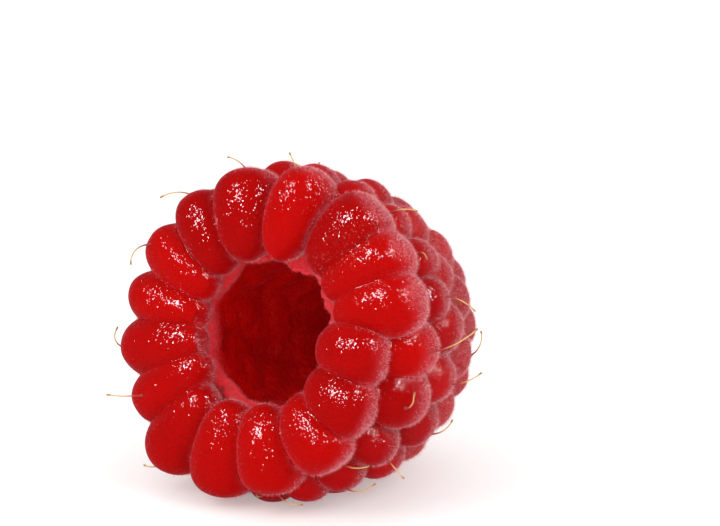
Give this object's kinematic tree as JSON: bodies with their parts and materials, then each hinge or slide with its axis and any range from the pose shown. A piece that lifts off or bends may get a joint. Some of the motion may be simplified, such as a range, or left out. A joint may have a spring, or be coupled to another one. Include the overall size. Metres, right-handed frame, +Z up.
{
  "type": "raspberry",
  "caption": "Picked raspberry lying on its side: a hollow cup of grown-together red drupelets, with fine dry styles standing on them.",
  "frame": {"origin": "centre of the bounding box in plan, on the surface that the fruit rests on", "axes": "+Z up; the fruit's mouth faces -Y and its tail +Y; +X to the right seen from the mouth's side"},
  "size_m": [0.026, 0.0232, 0.0226],
  "materials": {
    "drupelet_skin": null,
    "dry_style": null
  },
  "bodies": {
    "root": {"fruit": "drupelet_skin", "style_01": "dry_style", "style_02": "dry_style", "style_03": "dry_style", "style_04": "dry_style", "style_05": "dry_style", "style_06": "dry_style", "style_07": "dry_style", "style_08": "dry_style", "style_09": "dry_style", "style_10": "dry_style", "style_11": "dry_style", "style_12": "dry_style", "style_13": "dry_style", "style_14": "dry_style", "style_15": "dry_style", "style_16": "dry_style", "style_17": "dry_style", "style_18": "dry_style", "style_19": "dry_style", "style_20": "dry_style", "style_21": "dry_style", "style_22": "dry_style", "style_23": "dry_style", "style_24": "dry_style", "style_25": "dry_style", "style_26": "dry_style", "style_27": "dry_style", "style_28": "dry_style", "style_29": "dry_style", "style_30": "dry_style", "style_31": "dry_style", "style_32": "dry_style", "style_33": "dry_style", "style_34": "dry_style", "style_35": "dry_style", "style_36": "dry_style", "style_37": "dry_style", "style_38": "dry_style", "style_39": "dry_style"}
  },
  "joints": []
}
